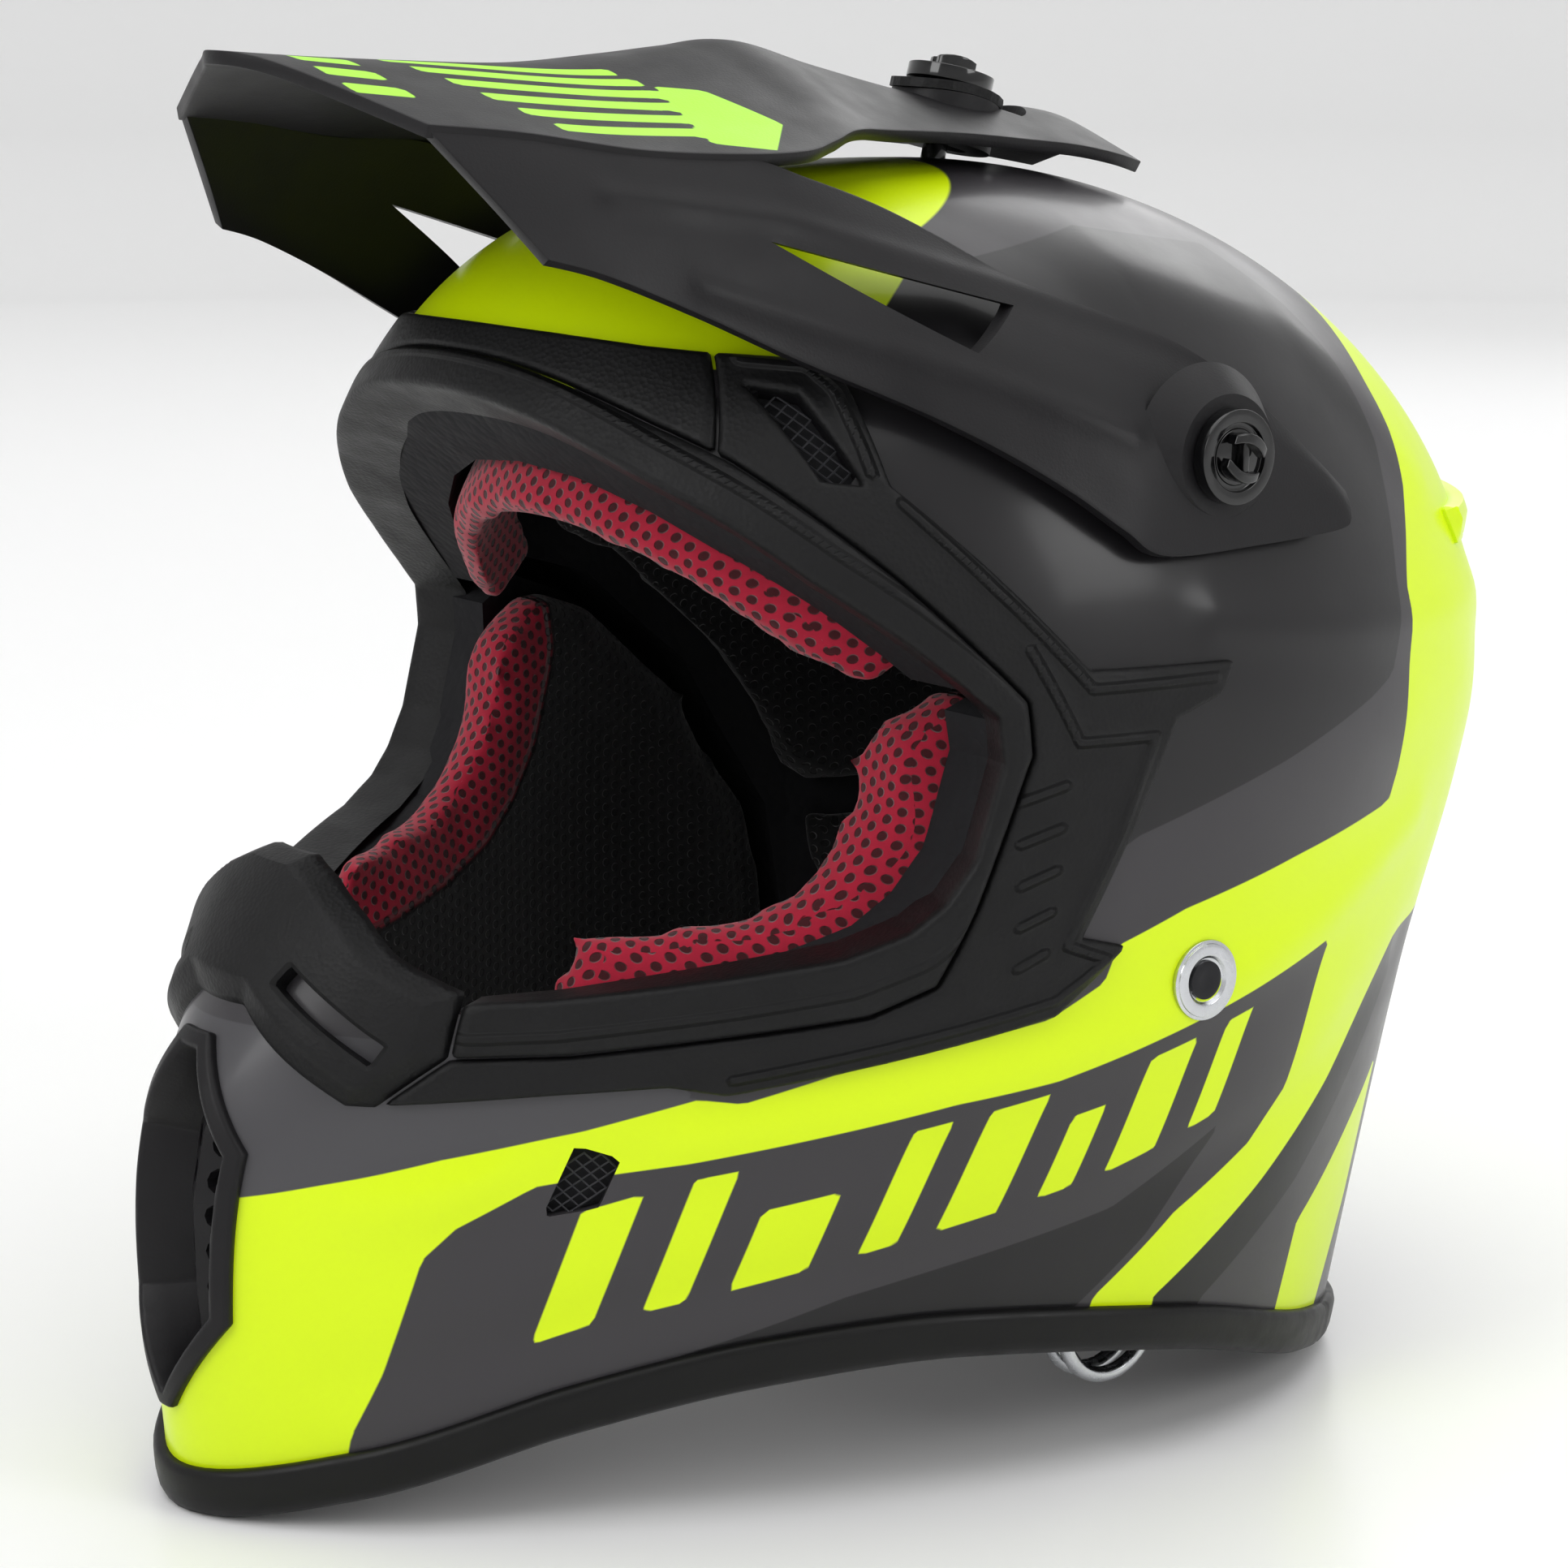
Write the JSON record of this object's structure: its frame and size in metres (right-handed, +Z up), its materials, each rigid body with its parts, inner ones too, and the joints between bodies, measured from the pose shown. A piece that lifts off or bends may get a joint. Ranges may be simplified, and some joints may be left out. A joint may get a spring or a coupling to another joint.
{
  "type": "motocross helmet",
  "caption": "Full-face off-road helmet with a long adjustable peak, open eyeport for goggles, vented chin bar, removable-style padded liner and a D-ring chin strap",
  "frame": {"origin": "centre of the footprint on the table the helmet stands on", "axes": "+Z up, front of the helmet faces -Y, the wearer's left is +X"},
  "size_m": [0.2548, 0.353, 0.316],
  "materials": {
    "shell_paint": "matte charcoal and fluorescent yellow paint on moulded plastic",
    "peak_paint": "matte black moulding with lime decals",
    "trim_plastic": "fine textured black",
    "vent_plastic": "satin dark grey",
    "bead_rubber": "soft black extrusion",
    "wire_mesh": "black woven wire",
    "foam": "black expanded foam beads",
    "liner_fabric": "black brushed liner cloth",
    "red_mesh": "red spacer mesh",
    "pad_mesh": "black spacer mesh with red edges",
    "screw_gloss": "gloss black",
    "rivet_steel": "polished",
    "steel": "zinc plated",
    "ring_steel": "polished",
    "snap_metal": "black",
    "webbing": "woven black webbing"
  },
  "bodies": {
    "helmet": {"outer_shell": "shell_paint", "edge_bead": "bead_rubber", "eyeport_rim": "trim_plastic", "brow_trim": "trim_plastic", "side_trim_left": "trim_plastic", "side_trim_right": "trim_plastic", "nose_guard": "trim_plastic", "mouth_vent_bezel": "vent_plastic", "mouth_vent_plate": "vent_plastic", "chin_mesh_left": "wire_mesh", "chin_mesh_right": "wire_mesh", "brow_mesh_left": "wire_mesh", "brow_mesh_right": "wire_mesh", "rear_vent_left": "vent_plastic", "rear_vent_right": "vent_plastic", "rear_spoiler": "shell_paint", "eps_liner": "foam", "chin_foam": "foam", "cheek_block_left": "foam", "cheek_block_right": "foam", "crown_liner": "liner_fabric", "brow_band": "red_mesh", "cheek_pad_left": "pad_mesh", "cheek_pad_right": "pad_mesh", "neck_roll": "liner_fabric", "peak_washer": "vent_plastic", "peak_nuts": "steel", "strap_rivet_left": "rivet_steel", "strap_rivet_right": "rivet_steel"},
    "peak": {"peak": "peak_paint"},
    "screw_left": {"peak_screw_left": "screw_gloss"},
    "screw_right": {"peak_screw_right": "screw_gloss"},
    "screw_centre": {"peak_screw_centre": "screw_gloss"},
    "strap_left": {"strap_plate_left": "steel", "chin_strap_left": "webbing"},
    "strap_right": {"strap_plate_right": "steel", "chin_strap_right": "webbing", "strap_snap": "snap_metal"},
    "ring_outer": {"d_ring_outer": "ring_steel"},
    "ring_inner": {"d_ring_inner": "ring_steel"}
  },
  "joints": [
    {"name": "peak_tilt", "type": "hinge", "parent": "helmet", "child": "peak", "pos_m": [0, 0.022, 0.23], "axis": [1, 0, 0], "range_deg": [-3, 3]},
    {"name": "screw_left_turn", "type": "hinge", "parent": "helmet", "child": "screw_left", "pos_m": [0.118, 0.022, 0.23], "axis": [1, 0, 0], "continuous": true},
    {"name": "screw_right_turn", "type": "hinge", "parent": "helmet", "child": "screw_right", "pos_m": [-0.118, 0.022, 0.23], "axis": [-1, 0, 0], "continuous": true},
    {"name": "screw_centre_turn", "type": "hinge", "parent": "helmet", "child": "screw_centre", "pos_m": [0, 0.04196, 0.30198], "axis": [0, 0.2672, 0.9636], "continuous": true},
    {"name": "strap_left_swing", "type": "hinge", "parent": "helmet", "child": "strap_left", "pos_m": [0.112, 0.018, 0.115], "axis": [1, 0, 0], "range_deg": [-8, 8]},
    {"name": "strap_right_swing", "type": "hinge", "parent": "helmet", "child": "strap_right", "pos_m": [-0.112, 0.018, 0.115], "axis": [1, 0, 0], "range_deg": [-8, 8]},
    {"name": "ring_outer_swing", "type": "hinge", "parent": "strap_left", "child": "ring_outer", "pos_m": [0.091, 0.018, 0.033], "axis": [0, 1, 0], "range_deg": [-25, 0]},
    {"name": "ring_inner_swing", "type": "hinge", "parent": "strap_left", "child": "ring_inner", "pos_m": [0.085, 0.018, 0.033], "axis": [0, 1, 0], "range_deg": [0, 50]}
  ]
}
